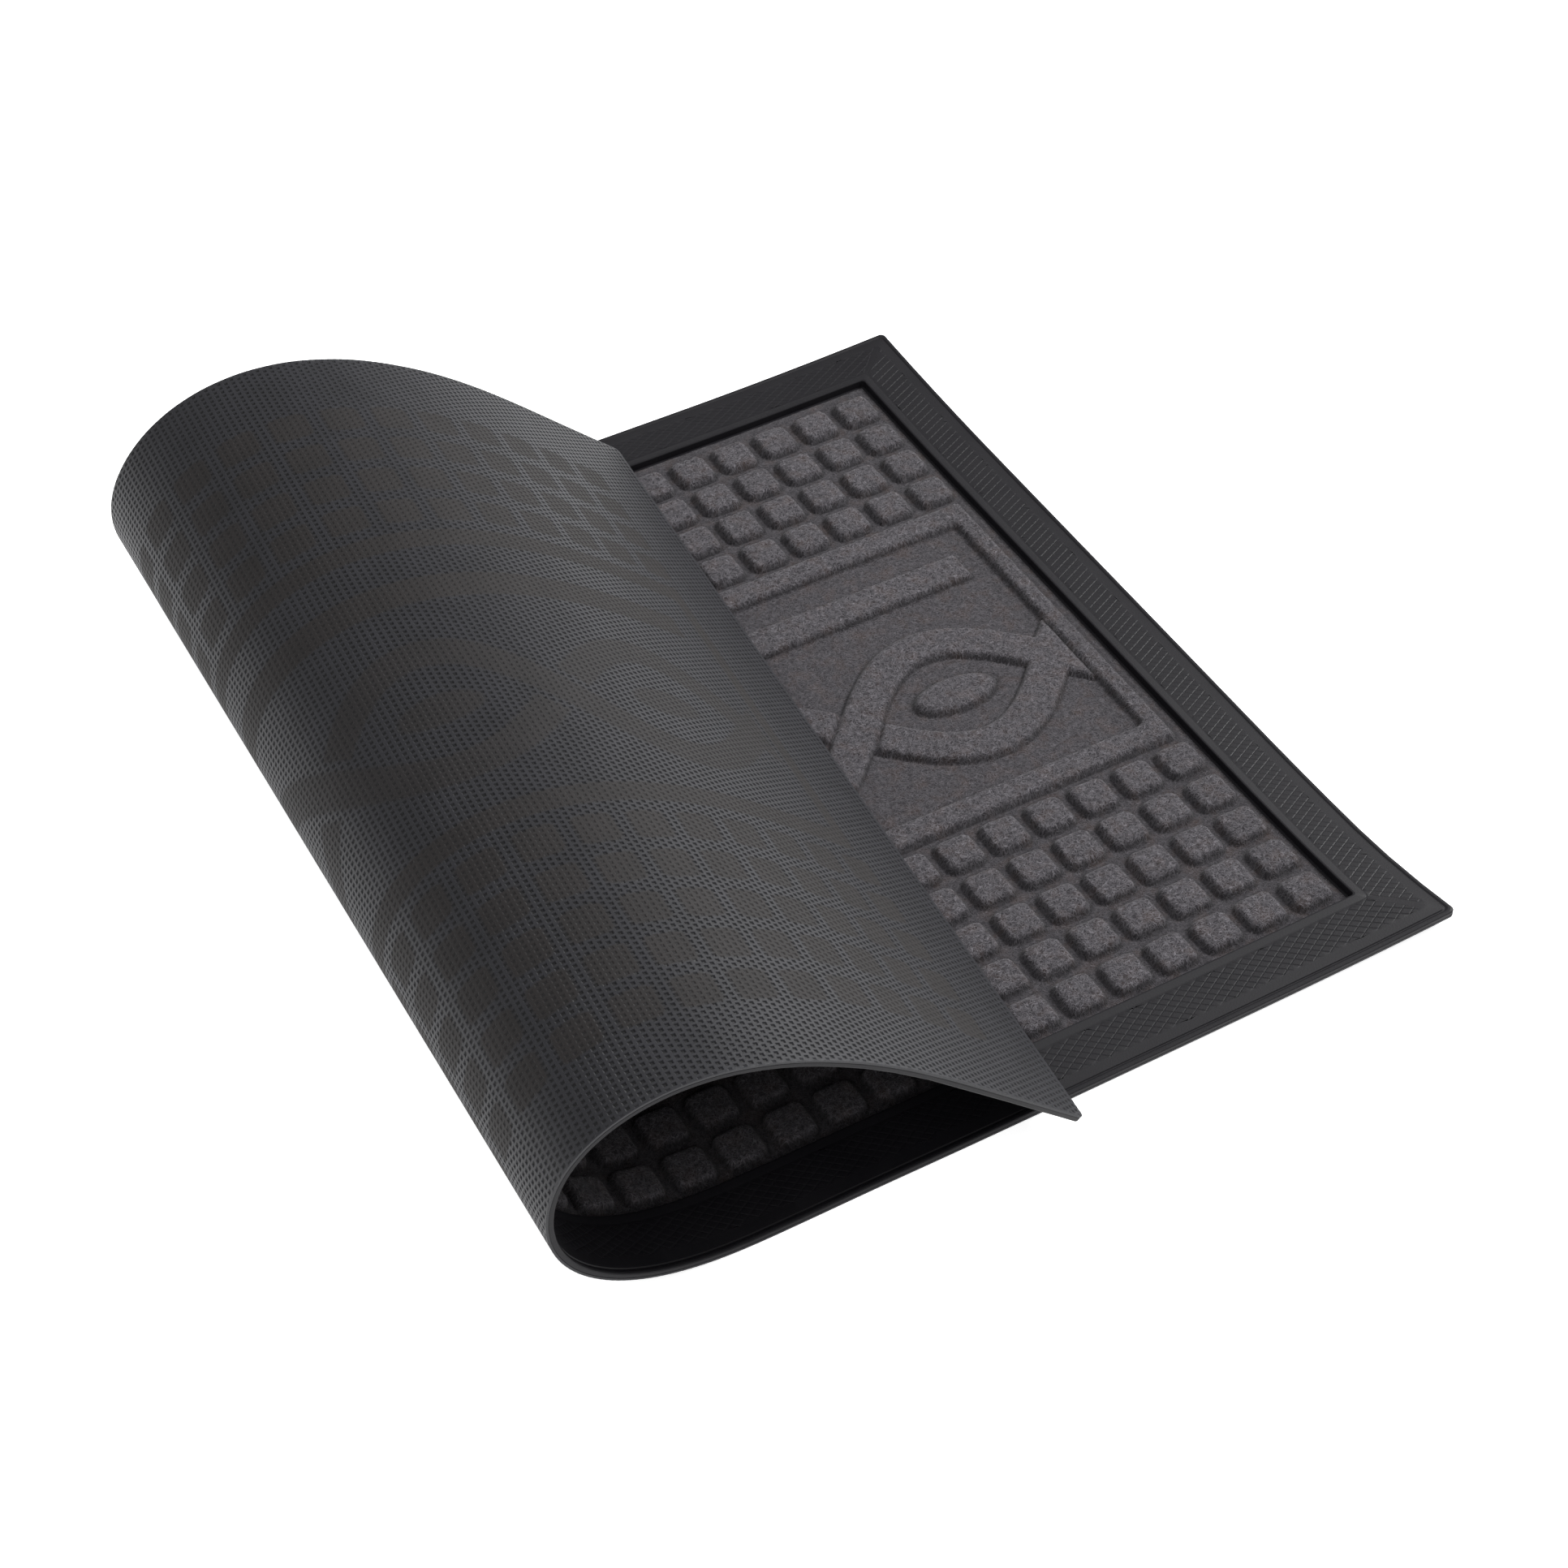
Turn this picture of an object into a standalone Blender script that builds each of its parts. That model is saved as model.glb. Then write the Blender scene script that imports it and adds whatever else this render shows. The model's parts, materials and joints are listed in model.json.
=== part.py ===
"""A charcoal rubber-backed door mat, folded over on itself.

The mat is two bonded sheets: a moulded rubber tray and the needle-punched felt insert in its well.
Both are modelled flat, cut along the same hinge lines, and rolled up about them, so that the mat
can be unrolled. Units are metres and degrees. The flat mat runs along -X from its right-hand short
edge, and the fold lines run roughly along Y.
"""

import math

import bmesh
import bpy
import numpy as np
from mathutils import Matrix, Vector

# The flat mat.
MAT_LENGTH = 0.710
MAT_WIDTH = 0.450
BORDER_WIDTH = 0.0280
EDGE_HEIGHT = 0.0036
SHOULDER_INSET = 0.0030
SHOULDER_HEIGHT = 0.0042
LIP_HEIGHT = 0.0060
LIP_TOP_WIDTH = 0.0015
WELL_WALL_SLOPE = 0.0004
WELL_FLOOR_HEIGHT = 0.0026
FELT_SIDE_GAP = 0.0025
FELT_TOP_HEIGHT = 0.0063
TOUCH_GAP = 0.0003

# How sharply the mat is rolled along its length, in degrees of bend per metre: it rises from
# nothing, holds its peak over a short crown, falls to the slow arch of the flap, and dies out.
BEND_START = 0.302
BEND_RISE = 0.114
BEND_CROWN = 0.021
BEND_FALL = 0.120
BEND_TAIL = 0.111
PEAK_BEND = 1330.0
FLAP_BEND = 335.0

# The fold is slightly askew, and more so half-way through the roll than at either end.
SKEW_AT_START = 0.7
SKEW_AT_MIDDLE = 2.9
SKEW_AT_END = -1.0

HINGE_COUNT = 18
PROFILE_STEPS = 4000


def clear_scene():
    for old in list(bpy.data.objects):
        bpy.data.objects.remove(old, do_unlink=True)


def material(name, color, roughness):
    """A Principled material with the sub-part's colour and roughness."""
    made = bpy.data.materials.new(name)
    made.use_nodes = True
    shader = made.node_tree.nodes["Principled BSDF"]
    shader.inputs["Base Color"].default_value = (*color, 1.0)
    shader.inputs["Roughness"].default_value = roughness
    shader.inputs["Metallic"].default_value = 0.0
    made.diffuse_color = (*color, 1.0)
    return made


def hinge_lines():
    """Each hinge line as (distance from the right-hand edge, skew), and the bend at each hinge.

    The whole bend is shared equally between the hinges, so they stand close together where the
    mat is rolled tightly and far apart along the flap.
    """
    knots = np.cumsum([BEND_START, BEND_RISE, BEND_CROWN, BEND_FALL, BEND_TAIL])
    distance = np.linspace(0.0, MAT_LENGTH, PROFILE_STEPS)
    bend = np.interp(distance, knots, [0.0, PEAK_BEND, PEAK_BEND, FLAP_BEND, 0.0], left=0.0, right=0.0)
    turned = np.concatenate([[0.0], np.cumsum((bend[1:] + bend[:-1]) / 2 * np.diff(distance))])
    share = turned[-1] / HINGE_COUNT
    wanted = (np.arange(HINGE_COUNT) + 0.5) * share
    inside = (turned > 0.0) & (turned < turned[-1])
    places = np.interp(wanted, turned[inside], distance[inside])
    skews = np.interp(wanted / turned[-1], [0.0, 0.5, 1.0], [SKEW_AT_START, SKEW_AT_MIDDLE, SKEW_AT_END])
    return list(zip(places.tolist(), skews.tolist())), share


def rectangle_ring(mesh, inset, height):
    """Four points of the mat's outline, moved in by the inset, at a height."""
    right, left = -inset, -MAT_LENGTH + inset
    near, far = -MAT_WIDTH / 2 + inset, MAT_WIDTH / 2 - inset
    corners = ((right, near), (right, far), (left, far), (left, near))
    return [mesh.verts.new((x, y, height)) for x, y in corners]


def ringed_solid(profile):
    """A closed solid whose top follows a profile of (inset, height) in from the outline."""
    mesh = bmesh.new()
    rings = [rectangle_ring(mesh, inset, height) for inset, height in profile]
    for lower, upper in zip(rings, rings[1:]):
        for corner in range(4):
            after = (corner + 1) % 4
            mesh.faces.new((lower[corner], lower[after], upper[after], upper[corner]))
    mesh.faces.new(list(reversed(rings[0])))
    mesh.faces.new(rings[-1])
    bmesh.ops.recalc_face_normals(mesh, faces=mesh.faces)
    return mesh


def rubber_tray():
    """The moulded tray: a sloping border, a steep inner lip and the well that holds the felt."""
    well_inset = BORDER_WIDTH + WELL_WALL_SLOPE
    return ringed_solid(
        (
            (0.0, 0.0),
            (0.0, EDGE_HEIGHT),
            (SHOULDER_INSET, SHOULDER_HEIGHT),
            (BORDER_WIDTH - LIP_TOP_WIDTH, LIP_HEIGHT),
            (BORDER_WIDTH, LIP_HEIGHT),
            (well_inset, WELL_FLOOR_HEIGHT),
        )
    )


def felt_insert():
    """The needle-punched carpet that fills the well, clear of the lip all round."""
    inset = BORDER_WIDTH + WELL_WALL_SLOPE + FELT_SIDE_GAP
    return ringed_solid(((inset, WELL_FLOOR_HEIGHT + TOUCH_GAP), (inset, FELT_TOP_HEIGHT)))


def cut(mesh, place, skew, keep_far_side):
    """Cuts the flat sheet square through along a hinge line, and closes the cut."""
    angle = math.radians(skew)
    toward_right = Vector((math.cos(angle), -math.sin(angle), 0.0))
    side = -1.0 if keep_far_side else 1.0
    point = Vector((-place, 0.0, 0.0)) + toward_right * side * TOUCH_GAP / 2
    geometry = mesh.verts[:] + mesh.edges[:] + mesh.faces[:]
    made = bmesh.ops.bisect_plane(
        mesh, geom=geometry, dist=1e-7, plane_co=point, plane_no=toward_right * side, clear_inner=True
    )
    rim = [item for item in made["geom_cut"] if isinstance(item, bmesh.types.BMEdge)]
    bmesh.ops.holes_fill(mesh, edges=rim, sides=0)
    bmesh.ops.recalc_face_normals(mesh, faces=mesh.faces)


def flat_hinge_matrix(place, skew):
    """The place of a hinge on the flat mat: on the felt's face, its Y axis along the hinge line."""
    turn = Matrix.Rotation(-math.radians(skew), 4, "Z")
    return Matrix.Translation((-place, 0.0, FELT_TOP_HEIGHT)) @ turn


def empty(name, parent, matrix):
    made = bpy.data.objects.new(name, None)
    made.empty_display_size = 0.02
    made.parent = parent
    made.location = matrix.to_translation()
    made.rotation_euler = matrix.to_euler("XYZ")
    bpy.context.collection.objects.link(made)
    return made


def hinge_empties(origin, lines, share):
    """A chain of empties, one on each hinge line, each turned by its share of the bend."""
    bend = Matrix.Rotation(math.radians(share), 4, "Y")
    chain = []
    parent, flat_parent = origin, Matrix.Identity(4)
    for number, (place, skew) in enumerate(lines, start=1):
        flat = flat_hinge_matrix(place, skew)
        parent = empty(f"unroll_{number:02d}_axis", parent, flat_parent.inverted() @ flat @ bend)
        chain.append((parent, flat))
        flat_parent = flat
    return chain


def sheet_segment(name, build_sheet, number, lines, parent, flat, finish):
    """One rigid stretch of a sheet, between the hinge before it and the hinge after it."""
    mesh = build_sheet()
    if number > 0:
        cut(mesh, *lines[number - 1], keep_far_side=True)
    if number < len(lines):
        cut(mesh, *lines[number], keep_far_side=False)
    bmesh.ops.transform(mesh, matrix=flat.inverted(), verts=mesh.verts)
    data = bpy.data.meshes.new(name)
    mesh.to_mesh(data)
    mesh.free()
    data.materials.append(finish)
    made = bpy.data.objects.new(name, data)
    made.parent = parent
    bpy.context.collection.objects.link(made)
    return made


def stand_on_origin(origin, pieces):
    """Moves the mat so that the centre of its box's underside is the world's origin."""
    bpy.context.view_layer.update()
    points = np.array([piece.matrix_world @ vert.co for piece in pieces for vert in piece.data.vertices])
    low, high = points.min(axis=0), points.max(axis=0)
    origin.location = (-(low[0] + high[0]) / 2, -(low[1] + high[1]) / 2, -low[2])


def main():
    clear_scene()
    rubber = material("moulded_rubber", (0.030, 0.031, 0.036), 0.45)
    felt = material("needle_felt", (0.050, 0.048, 0.047), 0.95)
    lines, share = hinge_lines()
    origin = empty("mat_origin", None, Matrix.Identity(4))
    chain = [(origin, Matrix.Identity(4))] + hinge_empties(origin, lines, share)
    pieces = []
    for number, (parent, flat) in enumerate(chain):
        stretch = f"bend_{number:02d}" if number else "base"
        for sheet, build_sheet, finish in (
            ("rubber_tray", rubber_tray, rubber),
            ("felt_insert", felt_insert, felt),
        ):
            name = f"{sheet}_{stretch}"
            pieces.append(sheet_segment(name, build_sheet, number, lines, parent, flat, finish))
    stand_on_origin(origin, pieces)


main()
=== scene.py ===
# A charcoal door mat, folded over on itself: a moulded rubber tray with a needle-felt
# insert. Every piece is shaped on the flat mat and then rolled up along the CAD's hinges.
import json
import math

import bmesh
import bpy
import numpy as np
from mathutils import Matrix, Vector


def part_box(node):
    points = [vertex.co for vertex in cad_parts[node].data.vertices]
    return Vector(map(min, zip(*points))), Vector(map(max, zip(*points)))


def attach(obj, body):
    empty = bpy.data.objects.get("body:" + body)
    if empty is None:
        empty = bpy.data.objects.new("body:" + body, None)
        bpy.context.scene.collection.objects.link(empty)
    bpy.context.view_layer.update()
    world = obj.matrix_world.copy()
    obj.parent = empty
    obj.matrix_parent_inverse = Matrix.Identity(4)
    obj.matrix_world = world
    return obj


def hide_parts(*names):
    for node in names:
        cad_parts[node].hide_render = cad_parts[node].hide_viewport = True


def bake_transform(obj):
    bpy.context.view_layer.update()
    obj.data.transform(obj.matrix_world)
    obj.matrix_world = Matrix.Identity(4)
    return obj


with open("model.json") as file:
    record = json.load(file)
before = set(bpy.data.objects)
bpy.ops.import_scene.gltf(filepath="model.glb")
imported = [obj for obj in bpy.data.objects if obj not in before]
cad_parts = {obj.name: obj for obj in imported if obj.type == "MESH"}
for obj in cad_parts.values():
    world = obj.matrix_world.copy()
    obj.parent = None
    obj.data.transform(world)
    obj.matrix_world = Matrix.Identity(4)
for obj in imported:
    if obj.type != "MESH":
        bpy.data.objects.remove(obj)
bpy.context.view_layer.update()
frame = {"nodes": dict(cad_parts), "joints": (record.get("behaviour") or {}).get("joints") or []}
mm = 0.001


# The flat mat and how it rolls up.
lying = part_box("rubber_tray_base")
rightX = lying[1].x  # the short edge of the part that lies flat
middleY = (lying[0].y + lying[1].y) / 2
matWidth = lying[1].y - lying[0].y

roll = {
    "profileSteps": 4001,  # steps of the smooth bend along the mat
    "stepsPerBend": 24,  # steps of the table inside one hinge's bend
    "facet": math.radians(3.1),  # how much one flat facet of rubber bends
    "thickness": 0.007,  # from the underside to the top of the pads, in metres
}


def readHinges(joints):
    # Unrolls the hinges in order, so each is known by its place on the flat mat.
    unrolled = Matrix.Identity(4)
    hinges, folds = [], [Matrix.Identity(4)]
    for joint in joints:
        point, axis = Vector(joint["pos_m"]), Vector(joint["axis"])
        bend = math.radians(joint["range_deg"][1])
        flatPoint = unrolled @ point
        line = -(unrolled.to_3x3() @ axis)
        hinges.append(
            {
                "along": rightX - flatPoint.x,
                "skew": math.atan2(line.x, line.y),
                "bend": bend,
                "height": flatPoint.z,
                "body": joint["child"],
            }
        )
        back = Matrix.Translation(-point)
        turn = Matrix.Translation(point) @ Matrix.Rotation(bend, 4, axis) @ back
        unrolled = unrolled @ turn
        folds.append(unrolled.inverted())
    return hinges, folds


hinges, folds = readHinges(frame["joints"])
hingeAlong = np.array([hinge["along"] for hinge in hinges])
hingeSkew = np.array([hinge["skew"] for hinge in hinges])
hingeBend = np.array([hinge["bend"] for hinge in hinges])
hingeHeight = hinges[0]["height"]
lastNode = frame["nodes"]["rubber_tray_" + hinges[-1]["body"]]
matLength = rightX - min((folds[-1].inverted() @ vert.co).x for vert in lastNode.data.vertices)
print(f"flat mat {matLength:.3f} x {matWidth:.3f} m, {len(hinges)} hinges")


def bendProfile():
    # A smooth bend through the hinges: (distance along the mat, angle turned by there).
    gaps = np.diff(hingeAlong)
    middles = (hingeAlong[1:] + hingeAlong[:-1]) / 2
    rates = (hingeBend[1:] + hingeBend[:-1]) / 2 / gaps
    startRatio = math.sqrt((hingeBend[0] + hingeBend[1] / 2) / (hingeBend[0] / 2))
    endRatio = math.sqrt((hingeBend[-1] + hingeBend[-2] / 2) / (hingeBend[-1] / 2))
    start = hingeAlong[0] - gaps[0] / (startRatio - 1)
    end = hingeAlong[-1] + gaps[-1] / (endRatio - 1)
    along = np.linspace(start, end, roll["profileSteps"])
    rate = np.interp(along, [start, *middles, end], [0.0, *rates, 0.0])
    turned = np.concatenate([[0.0], np.cumsum((rate[1:] + rate[:-1]) / 2 * np.diff(along))])
    return along, turned * hingeBend.sum() / turned[-1]


profileAlong, profileTurned = bendProfile()
seams = np.interp(np.concatenate([[0.0], np.cumsum(hingeBend)]), profileTurned, profileAlong)


def skewAt(along):
    return np.interp(along, hingeAlong, hingeSkew)


def rulingTurn(along, angle):
    # A turn about the line across the flat mat that bends at this distance.
    skew = float(skewAt(along))
    place = Matrix.Translation((rightX - along, middleY, hingeHeight))
    axis = Vector((math.sin(skew), math.cos(skew), 0.0))
    return place @ Matrix.Rotation(angle, 4, axis) @ place.inverted()


def rollTable():
    # The roll as one matrix for each step along the mat, true to the CAD at every seam.
    alongs, matrices = [seams[0]], [np.eye(4)]
    for number in range(len(hinges)):
        steps = np.linspace(seams[number], seams[number + 1], roll["stepsPerBend"] + 1)
        angles = np.diff(np.interp(steps, profileAlong, profileTurned))
        turn, turns = folds[number].copy(), []
        for along, angle in zip((steps[1:] + steps[:-1]) / 2, angles):
            turn = turn @ rulingTurn(along, float(angle))
            turns.append(turn.copy())
        mend = turn.inverted() @ folds[number + 1]
        for count, turn in enumerate(turns, start=1):
            share = count / len(turns)
            share = share * share * (3 - 2 * share)
            matrices.append(np.array(turn @ Matrix.Identity(4).lerp(mend, share)))
        alongs.extend(steps[1:])
    return np.array(alongs), np.array(matrices)


tableAlong, tableMatrices = rollTable()


def alongOf(points):
    # The distance along the mat of the bending line that each flat point lies on.
    along = rightX - points[:, 0]
    found = along
    for _ in range(6):
        found = along + (points[:, 1] - middleY) * np.tan(skewAt(found))
    return found


def rollUp(points):
    # Takes points from the flat mat to the folded one.
    along = alongOf(points)
    after = np.clip(np.searchsorted(tableAlong, along), 1, len(tableAlong) - 1)
    before = after - 1
    share = np.clip((along - tableAlong[before]) / (tableAlong[after] - tableAlong[before]), 0, 1)
    share = share[:, None, None]
    turns = tableMatrices[before] * (1 - share) + tableMatrices[after] * share
    full = np.concatenate([points, np.ones((len(points), 1))], axis=1)
    return np.einsum("nij,nj->ni", turns, full)[:, :3]


# How the lying part fails to lie quite flat, in metres.
rest = {
    "nearCorner": (5.0 * mm, 0.150),  # lift and reach of the near right corner
    "farCorner": (3.2 * mm, 0.120),
    "flare": (4.2 * mm, 0.065),  # how far the near right corner has stretched, and its reach
    "edgeWave": (0.9 * mm, 0.230),  # height and length of the wave in the near edge
    "edgeReach": 0.10,  # how far in from the edge the wave is felt
    "squash": 1.15,  # a corner's lift reaches less far across the mat than along it
    "fade": 0.050,  # the waves die out this far ahead of the roll
}


def flare(points):
    stretch, reach = rest["flare"]
    away = np.hypot(rightX - points[:, 0], points[:, 1] - middleY + matWidth / 2)
    return stretch * np.clip(1 - away / reach, 0, 1) ** 2


def lift(points):
    along = rightX - points[:, 0]
    across = points[:, 1] - middleY
    raised = np.zeros(len(points))
    for side, (height, reach) in ((-1, rest["nearCorner"]), (1, rest["farCorner"])):
        away = np.hypot(along, (matWidth / 2 - side * across) * rest["squash"])
        raised += height * np.clip(1 - away / reach, 0, 1) ** 2
    height, length = rest["edgeWave"]
    nearEdge = np.clip(1 - (across + matWidth / 2) / rest["edgeReach"], 0, 1) ** 2
    raised += height * nearEdge * (1 - np.cos(along / length * 2 * math.pi)) / 2
    ahead = np.clip((seams[0] - alongOf(points)) / rest["fade"], 0, 1)
    return raised * ahead * ahead * (3 - 2 * ahead)


# The relief of the felt, in millimetres on the flat mat: along from the right edge,
# across from its middle.
relief = {
    "channel": 3.45,  # height of the pressed felt between the pads
    "field": 3.6,  # height of the smooth ground inside the frame
    "padTop": 6.4,
    "padHalf": 9.3,
    "padRound": 4.2,
    "padSide": 2.6,  # how far in from its foot a pad takes to reach its top
    "padCrown": 0.45,
    "padFirst": 42.3,
    "padColumns": 29,
    "farRows": (179.7, 157.1, 134.5, 111.9),
    "nearRows": (-184.0, -161.4, -138.8, -116.2, -93.6),
    "creaseHalf": 0.8,  # the felt is pressed deepest round the foot of each shape; painted shade darkens the same band
    "creaseDepth": 0.35,
    "barTop": 6.4,
    "barSide": 2.4,
    "frameAlong": (34.8, 44.6),  # the frame's short bar, outer and inner
    "frameNear": (-80.5, -66.8),
    "frameFar": (99.0, 85.2),
    "straightBar": (51.3, 68.9),
    "straightInset": 56.0,
    "ornamentInset": 54.0,
    "ornamentMiddle": -10.0,
    "ornamentSwing": 33.0,
    "ornamentHalf": 9.5,  # half the width of a strand
    "ornamentLoops": 6,
    "ornamentTop": 6.2,
    "ornamentSide": 3.0,
    "weave": (0.2, 2.2),  # gap beside the upper strand, and how far the lower one dips for
    "weaveReach": 0.32,  # share of a loop, each side of a crossing, where one strand dips
    "pip": (21.0, 10.5),  # half length and half height of the oval in each loop
    "frameCorners": (3.0, 1.5),  # corner radius of the frame, outside and inside
    "straightCorner": 2.0,
    "lumps": (0.0034, 0.05, 0.10),  # length in metres, height on flat felt, more on raised
    "swell": (0.012, 0.06),
    "fieldRaised": 0.26,  # the field's hairs stand this much, though it lies low
}


def smooth(value):
    value = np.clip(value, 0, 1)
    return value * value * (3 - 2 * value)


def pillow(inside, side):
    # 0 at a foot and outside it, rising steeply and rounding over to 1.
    share = np.clip(inside / side, 0, 1)
    return (1 - (1 - share) ** 2.4) ** 0.75


def boxInside(along, across, low, high, radius):
    # How far inside a rounded rectangle a point is.
    middle = ((low[0] + high[0]) / 2, (low[1] + high[1]) / 2)
    half = ((high[0] - low[0]) / 2, (high[1] - low[1]) / 2)
    outAlong = np.abs(along - middle[0]) - half[0] + radius
    outAcross = np.abs(across - middle[1]) - half[1] + radius
    corner = np.hypot(np.maximum(outAlong, 0), np.maximum(outAcross, 0))
    return radius - corner - np.minimum(np.maximum(outAlong, outAcross), 0)


def padRelief(along, across):
    pitch = (matLength / mm - 2 * relief["padFirst"]) / (relief["padColumns"] - 1)
    column = np.clip(np.round((along - relief["padFirst"]) / pitch), 0, relief["padColumns"] - 1)
    fromMiddle = along - relief["padFirst"] - column * pitch
    half, found, nearest = relief["padHalf"], np.zeros(len(along)), np.full(len(along), -99.0)
    for row in relief["farRows"] + relief["nearRows"]:
        inside = boxInside(
            fromMiddle, across - row, (-half, -half), (half, half), relief["padRound"]
        )
        crown = (1 - (fromMiddle / half) ** 2) * (1 - ((across - row) / half) ** 2)
        top = relief["padTop"] - relief["channel"] + relief["padCrown"] * np.clip(crown, 0, 1)
        found = np.maximum(found, top * pillow(inside, relief["padSide"]))
        nearest = np.maximum(nearest, inside)
    return found, nearest


def barRelief(along, across):
    length = matLength / mm
    near, far, short = relief["frameNear"], relief["frameFar"], relief["frameAlong"]
    outer, inner = (
        boxInside(along, across, (start, low), (length - start, high), radius)
        for start, low, high, radius in zip(short, near, far, relief["frameCorners"])
    )
    low, high = relief["straightBar"]
    inset = relief["straightInset"]
    straight = boxInside(
        along, across, (inset, low), (length - inset, high), relief["straightCorner"]
    )
    inside = np.maximum(np.minimum(outer, -inner), straight)
    return pillow(inside, relief["barSide"]), inside, inner > 0


def ornamentRelief(along, across):
    # Two strands that weave over and under each other, with an oval pip in each loop.
    start, end = relief["ornamentInset"], matLength / mm - relief["ornamentInset"]
    loop = (end - start) / relief["ornamentLoops"]
    phase = (along - start) / loop * math.pi
    half, swing = relief["ornamentHalf"], relief["ornamentSwing"]
    slope = swing * math.pi / loop * np.cos(phase)
    away = across - relief["ornamentMiddle"]
    ends = np.minimum(along - start, end - along) + half
    insides = []
    for sign in (1, -1):
        gap = np.abs(away - sign * swing * np.sin(phase)) / np.sqrt(1 + slope * slope)
        insides.append(np.minimum(half - gap, ends))
    crossing = np.round((along - start) / loop)
    nearCrossing = np.abs(along - start - crossing * loop) < loop * relief["weaveReach"]
    nearCrossing &= (crossing > 0) & (crossing < relief["ornamentLoops"])
    apart, dip = relief["weave"]
    found = np.zeros(len(along))
    for number, inside in enumerate(insides):
        under = nearCrossing & (crossing % 2 == number)
        cut = np.where(under, smooth((-insides[1 - number] - apart) / dip), 1.0)
        found = np.maximum(found, pillow(inside, relief["ornamentSide"]) * cut)
    fromPip = along - start - (np.floor((along - start) / loop) + 0.5) * loop
    long, high = relief["pip"]
    size = np.hypot(fromPip / long, away / high)
    inPip = (1 - size) * high * 0.9
    inPip = np.where((along > start) & (along < end), inPip, -1)
    found = np.maximum(found, pillow(inPip, relief["ornamentSide"]))
    return found, np.maximum(np.maximum(*insides), inPip)


def wander(points, length, seed):
    # Even, seamless random swell about 0, with bumps of this length in metres.
    random = np.random.default_rng(seed)
    found = np.zeros(len(points))
    waves = 26
    for angle, phase, stretch in random.random((waves, 3)):
        across = 2 * math.pi / (length * (0.7 + 0.8 * stretch))
        turn = angle * 2 * math.pi
        way = points[:, 0] * math.cos(turn) + points[:, 1] * math.sin(turn)
        found += np.cos(way * across + phase * 2 * math.pi)
    return found / math.sqrt(waves / 2)


def feltHeight(points):
    # The felt's top, in millimetres, then from 0 to 1 how raised and how creased it is; the crease
    # also sets where the colour gets painted shade.
    along = (rightX - points[:, 0]) / mm
    across = (points[:, 1] - middleY) / mm
    pads, inPad = padRelief(along, across)
    bars, inBar, inField = barRelief(along, across)
    ornament, inOrnament = ornamentRelief(along, across)
    foot = np.minimum.reduce([np.abs(inPad), np.abs(inBar), np.abs(inOrnament)])
    crease = np.exp(-((foot / relief["creaseHalf"]) ** 2))
    ground = np.where(inField, relief["field"], relief["channel"])
    height = np.maximum(
        np.maximum(ground, relief["channel"] + pads),
        np.maximum(
            ground + (relief["barTop"] - ground) * bars,
            ground + (relief["ornamentTop"] - ground) * ornament,
        ),
    )
    raised = np.clip((height - relief["channel"]) / (relief["padTop"] - relief["channel"]), 0, 1)
    length, flatLump, raisedLump = relief["lumps"]
    height += wander(points, length, 3) * (flatLump + raisedLump * raised)
    length, swell = relief["swell"]
    height += wander(points, length, 4) * swell
    height -= relief["creaseDepth"] * crease
    return height, np.where(inField, np.maximum(raised, relief["fieldRaised"]), raised), crease


def newNumbers(mesh, name, values):
    layer = mesh.attributes.new(name, "FLOAT", "POINT")
    layer.data.foreach_set("value", values.astype(np.float32))


def pointsOf(mesh):
    points = np.empty(len(mesh.vertices) * 3)
    mesh.vertices.foreach_get("co", points)
    return points.reshape(-1, 3)


def insideMat(points):
    # How far inside the mat's outline a flat point is.
    fromEnds = np.minimum(rightX - points[:, 0], points[:, 0] - rightX + matLength)
    return np.minimum(fromEnds, matWidth / 2 - np.abs(points[:, 1] - middleY))


def flatMap(mesh, points):
    # A UV map in metres on the flat mat, so patterns run on through every bend.
    loops = np.empty(len(mesh.loops), np.int32)
    mesh.loops.foreach_get("vertex_index", loops)
    flat = points[loops][:, :2] - np.array([rightX - matLength, middleY - matWidth / 2])
    layer = mesh.uv_layers.new(name="flatMat")
    layer.data.foreach_set("uv", flat.astype(np.float32).ravel())


def rulingPlane(along):
    skew = float(skewAt(along))
    return Vector((rightX - along, middleY, 0)), Vector((math.cos(skew), -math.sin(skew), 0))


def withRims(faces):
    # The faces with their edges and corners, each once and in a steady order.
    edges = [edge for face in faces for edge in face.edges]
    corners = [vert for face in faces for vert in face.verts]
    return list(dict.fromkeys([*faces, *edges, *corners]))


def bisect(mesh, point, normal, geometry=None, clearOuter=False, clearInner=False):
    geometry = geometry or mesh.verts[:] + mesh.edges[:] + mesh.faces[:]
    return bmesh.ops.bisect_plane(
        mesh,
        geom=geometry,
        dist=1e-7,
        plane_co=point,
        plane_no=normal,
        clear_outer=clearOuter,
        clear_inner=clearInner,
    )


def trim(mesh, start, end, cap):
    # Keeps the stretch between two bending lines, and closes the cuts if asked.
    for along, outer in ((start, True), (end, False)):
        if along is None:
            continue
        point, normal = rulingPlane(along)
        made = bisect(mesh, point, normal, clearOuter=outer, clearInner=not outer)
        if cap:
            rim = [item for item in made["geom_cut"] if isinstance(item, bmesh.types.BMEdge)]
            made = bmesh.ops.triangle_fill(mesh, edges=rim, use_beauty=False, use_dissolve=False)
            for item in made["geom"]:
                if isinstance(item, bmesh.types.BMFace):
                    item.smooth = False
            for edge in rim:
                edge.smooth = False


lyingCell = 0.020  # the lying part's plain faces are cut this finely, in metres
skewReach = 0.014  # how far a slanting bending line strays along the mat


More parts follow.
